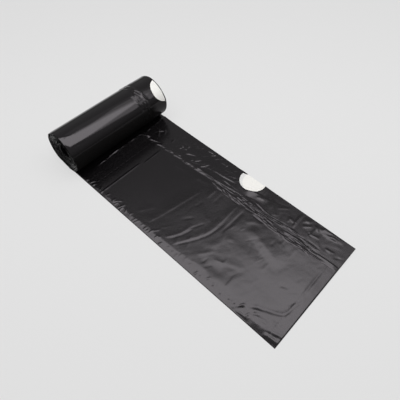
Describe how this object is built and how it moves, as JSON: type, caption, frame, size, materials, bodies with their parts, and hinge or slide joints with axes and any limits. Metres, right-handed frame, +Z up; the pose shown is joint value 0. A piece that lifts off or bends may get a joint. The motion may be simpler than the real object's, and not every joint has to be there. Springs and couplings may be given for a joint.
{
  "type": "bin bag roll",
  "caption": "Coreless roll of black drawstring bin bags with its outermost bag unrolled flat; a half-moon cut-out in the hem shows the white drawtape.",
  "frame": {"origin": "bottom centre of the whole part, which is the roll with its loose bag", "axes": "+X along the roll towards the bags' mouths, +Y from the loose bag's torn end towards the roll, +Z up"},
  "size_m": [0.2386, 0.5686, 0.0921],
  "materials": {
    "black_film": "gloss",
    "white_tape": "satin"
  },
  "bodies": {
    "root": {"bag_web": "black_film", "loose_bag_outer_drawtape": "white_tape", "loose_bag_inner_drawtape": "white_tape", "next_bag_outer_drawtape": "white_tape", "next_bag_inner_drawtape": "white_tape"}
  },
  "joints": []
}
